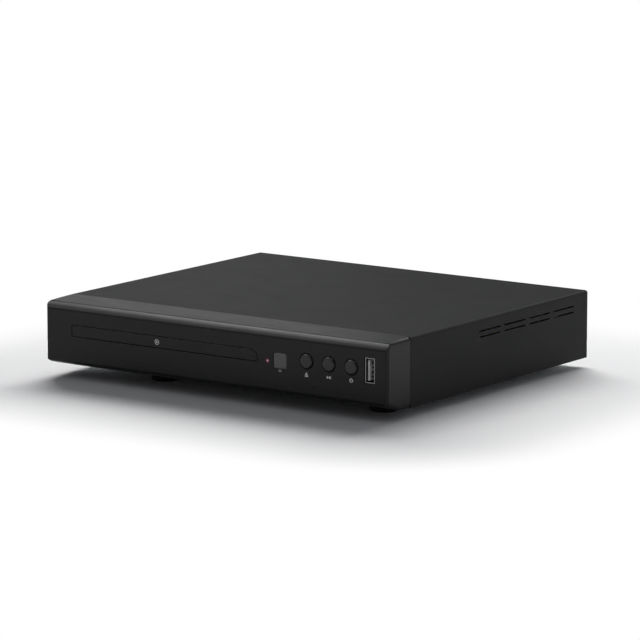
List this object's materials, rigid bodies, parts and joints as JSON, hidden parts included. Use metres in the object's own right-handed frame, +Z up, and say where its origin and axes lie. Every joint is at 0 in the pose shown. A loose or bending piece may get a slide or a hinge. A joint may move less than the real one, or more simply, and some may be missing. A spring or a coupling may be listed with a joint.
{
  "type": "disc player with tray",
  "caption": "Slim black disc player with a motor-driven loading tray, front buttons, an upright USB socket, side vents and a rear socket panel.",
  "frame": {"origin": "on the ground under the middle of the whole player, the buttons and rear sockets counted", "axes": "+Z up, +X to the right of someone facing the front, +Y from the front to the rear"},
  "size_m": [0.226, 0.206, 0.043],
  "materials": {
    "bezel_plastic": "satin black",
    "cover_paint": "fine textured black paint",
    "chassis_steel": "zinc plated",
    "smoked_window": "smoked, polished",
    "lamp_red": "tinted lens",
    "foot_rubber": "matte",
    "black_screw": "black oxide",
    "button_plastic": "polished black",
    "board_green": "solder mask",
    "board_tan": "bare laminate",
    "chip_black": "moulded",
    "tongue_white": "moulded",
    "contact_gold": "gold flash",
    "pin_brass": "turned",
    "capacitor_blue": "shrink sleeve",
    "capacitor_black": "shrink sleeve",
    "header_cream": "moulded nylon",
    "plated_steel": "nickel plated",
    "transformer_tape": "wound tape",
    "heatsink_metal": "extruded",
    "fuse_glass": "clear",
    "socket_black": "moulded",
    "socket_shell": "bright nickel",
    "coax_orange": "moulded",
    "video_yellow": "moulded",
    "audio_white": "moulded",
    "audio_red": "moulded",
    "ribbon_ivory": "flat cable",
    "loader_grey": "moulded",
    "tray_black": "satin",
    "clamp_white": "moulded",
    "motor_metal": "plated can",
    "gear_ivory": "acetal",
    "belt_rubber": "matte",
    "unit_grey": "glass filled",
    "stator_green": "solder mask",
    "table_black": "soft ring",
    "sled_metal": "die cast",
    "lens_blue": "coated"
  },
  "bodies": {
    "case": {"top_cover": "cover_paint", "bottom_chassis": "chassis_steel", "rear_panel": "cover_paint", "front_bezel": "bezel_plastic", "ir_window": "smoked_window", "led_lens": "lamp_red", "rubber_feet": "foot_rubber", "case_screws": "black_screw", "front_board": "board_green", "tact_switches": "chip_black", "ir_receiver": "chip_black", "usb_shell": "plated_steel", "usb_tongue": "tongue_white", "usb_contacts": "contact_gold", "main_board": "board_green", "board_chips": "chip_black", "board_capacitors": "capacitor_blue", "board_connectors": "header_cream", "inner_screws": "plated_steel", "power_board": "board_tan", "transformer": "transformer_tape", "power_capacitors": "capacitor_black", "heatsink": "heatsink_metal", "fuse": "fuse_glass", "inlet_housing": "socket_black", "inlet_pins": "pin_brass", "jack_board": "board_green", "rca_housing": "socket_black", "rca_shells": "socket_shell", "coax_insert": "coax_orange", "video_insert": "video_yellow", "left_insert": "audio_white", "right_insert": "audio_red", "hdmi_socket": "plated_steel", "ribbon_cables": "ribbon_ivory", "loader_frame": "loader_grey", "clamp_bridge": "chassis_steel", "tray_motor": "motor_metal", "drive_belt": "belt_rubber"},
    "tray": {"disc_tray": "tray_black", "tray_door": "bezel_plastic"},
    "motor_pulley": {"motor_pulley": "pin_brass"},
    "belt_gear": {"belt_gear": "gear_ivory"},
    "drive_gear": {"drive_gear": "gear_ivory"},
    "eject_button": {"eject_button": "button_plastic"},
    "play_button": {"play_button": "button_plastic"},
    "power_button": {"power_button": "button_plastic"},
    "clamp": {"clamp_puck": "clamp_white"},
    "cam": {"cam_slider": "gear_ivory"},
    "traverse": {"traverse_frame": "unit_grey", "spindle_stator": "stator_green", "guide_rods": "plated_steel", "sled_motor": "motor_metal"},
    "spindle": {"spindle_rotor": "motor_metal", "turntable": "table_black"},
    "sled": {"pickup_sled": "sled_metal"},
    "lens": {"objective_lens": "lens_blue"},
    "sled_gear": {"sled_gear": "gear_ivory"},
    "sled_pinion": {"sled_pinion": "pin_brass"}
  },
  "joints": [
    {"name": "tray_slide", "type": "slide", "parent": "case", "child": "tray", "axis": [0, -1, 0], "range_m": [0, 0.12566]},
    {"name": "drive_gear_spin", "type": "hinge", "parent": "case", "child": "drive_gear", "pos_m": [-0.0744, -0.076, 0.02], "axis": [0, 0, 1], "range_deg": [0, 900]},
    {"name": "belt_gear_spin", "type": "hinge", "parent": "case", "child": "belt_gear", "pos_m": [-0.0536, -0.076, 0.02], "axis": [0, 0, 1], "range_deg": [-3000, 0]},
    {"name": "motor_pulley_spin", "type": "hinge", "parent": "case", "child": "motor_pulley", "pos_m": [-0.0236, -0.078, 0.02], "axis": [0, 0, 1], "range_deg": [-9000, 0]},
    {"name": "eject_press", "type": "slide", "parent": "case", "child": "eject_button", "axis": [0, 1, 0], "range_m": [0, 0.0007], "stiffness_N_per_m": 500, "springref_m": -0.0004},
    {"name": "play_press", "type": "slide", "parent": "case", "child": "play_button", "axis": [0, 1, 0], "range_m": [0, 0.0007], "stiffness_N_per_m": 500, "springref_m": -0.0004},
    {"name": "power_press", "type": "slide", "parent": "case", "child": "power_button", "axis": [0, 1, 0], "range_m": [0, 0.0007], "stiffness_N_per_m": 500, "springref_m": -0.0004},
    {"name": "clamp_spin", "type": "hinge", "parent": "case", "child": "clamp", "pos_m": [-0.0324, -0.0341, 0.033], "axis": [0, 0, 1], "continuous": true},
    {"name": "drive_unit_tilt", "type": "hinge", "parent": "case", "child": "traverse", "pos_m": [-0.0324, 0.0439, 0.01715], "axis": [1, 0, 0], "range_deg": [0, 5.2]},
    {"name": "cam_slide", "type": "slide", "parent": "case", "child": "cam", "axis": [1, 0, 0], "range_m": [0, 0.018]},
    {"name": "disc_spin", "type": "hinge", "parent": "traverse", "child": "spindle", "pos_m": [-0.0324, -0.0341, 0.022], "axis": [0, 0, 1], "continuous": true},
    {"name": "sled_slide", "type": "slide", "parent": "traverse", "child": "sled", "axis": [0, 1, 0], "range_m": [0, 0.03455]},
    {"name": "sled_gear_spin", "type": "hinge", "parent": "traverse", "child": "sled_gear", "pos_m": [0.0036, 0.00718, 0.019], "axis": [0, 0, 1], "range_deg": [-660, 0]},
    {"name": "sled_pinion_spin", "type": "hinge", "parent": "traverse", "child": "sled_pinion", "pos_m": [0.0036, 0.01918, 0.019], "axis": [0, 0, 1], "range_deg": [0, 1980]},
    {"name": "lens_focus", "type": "slide", "parent": "sled", "child": "lens", "axis": [0, 0, 1], "range_m": [-0.0004, 0.0006], "stiffness_N_per_m": 80}
  ],
  "couplings": [
    {"joint": "drive_gear_spin", "follows": "tray_slide", "rad_per_m": 125},
    {"joint": "belt_gear_spin", "follows": "tray_slide", "rad_per_m": -416.67},
    {"joint": "motor_pulley_spin", "follows": "tray_slide", "rad_per_m": -1250},
    {"joint": "cam_slide", "follows": "drive_unit_tilt", "m_per_rad": 0.1983},
    {"joint": "sled_gear_spin", "follows": "sled_slide", "rad_per_m": -333.33},
    {"joint": "sled_pinion_spin", "follows": "sled_slide", "rad_per_m": 1000}
  ]
}
